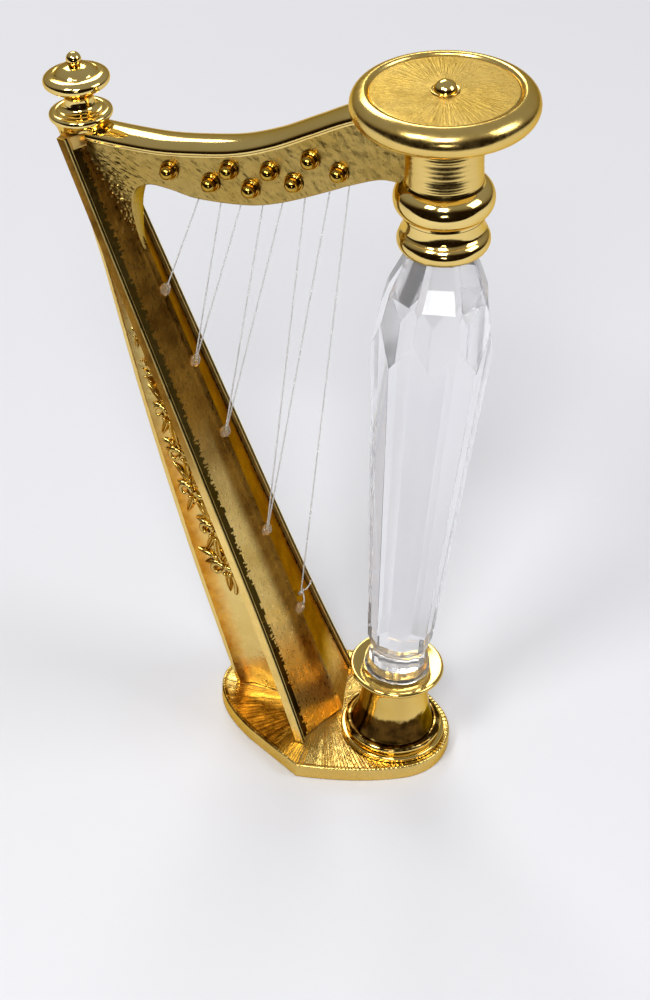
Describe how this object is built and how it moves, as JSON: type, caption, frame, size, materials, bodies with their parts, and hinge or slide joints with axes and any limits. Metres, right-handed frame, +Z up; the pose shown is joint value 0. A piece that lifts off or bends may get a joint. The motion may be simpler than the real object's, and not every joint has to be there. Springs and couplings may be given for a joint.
{
  "type": "miniature ornamental harp",
  "caption": "Small gold-plated display harp with a cut-crystal column, clear thread strings, a curved neck with beads and a flat base to stand on.",
  "frame": {"origin": "on the underside of the base plate, straight below the foot of the column", "axes": "+Z up, +X away from the soundbox, past the column, +Y across the harp, away from the tuning pins"},
  "size_m": [0.0468, 0.0194, 0.0775],
  "materials": {
    "polished_gold": "polished gold plate",
    "textured_gold": "brushed and hammered gold plate",
    "crystal": "clear cut crystal",
    "clear_glue": "clear adhesive",
    "clear_thread": "clear nylon thread"
  },
  "bodies": {
    "root": {"column_pedestal": "polished_gold", "capital_lower_ring": "polished_gold", "capital_bulb_ring": "polished_gold", "capital_disc": "polished_gold", "capital_bead": "polished_gold", "finial_base": "polished_gold", "finial_cap": "polished_gold", "finial_bead": "polished_gold", "soundbox_web": "polished_gold", "soundbox_spine": "polished_gold", "vine_relief_near": "polished_gold", "vine_relief_far": "polished_gold", "neck_rail": "polished_gold", "tuning_pin_1": "polished_gold", "tuning_pin_2": "polished_gold", "tuning_pin_3": "polished_gold", "tuning_pin_4": "polished_gold", "tuning_pin_5": "polished_gold", "tuning_pin_6": "polished_gold", "tuning_pin_7": "polished_gold", "tuning_pin_8": "polished_gold", "base_plate": "textured_gold", "capital_drum": "textured_gold", "soundboard": "textured_gold", "neck": "textured_gold", "crystal_column": "crystal", "column_lower_glue": "clear_glue", "column_upper_glue": "clear_glue", "string_seal_1": "clear_glue", "string_seal_2": "clear_glue", "string_seal_3": "clear_glue", "string_seal_4": "clear_glue", "string_seal_5": "clear_glue", "string_1": "clear_thread", "string_2": "clear_thread", "string_3": "clear_thread", "string_4": "clear_thread", "string_5": "clear_thread", "string_6": "clear_thread", "string_7": "clear_thread", "string_8": "clear_thread", "string_knot": "clear_thread"}
  },
  "joints": []
}
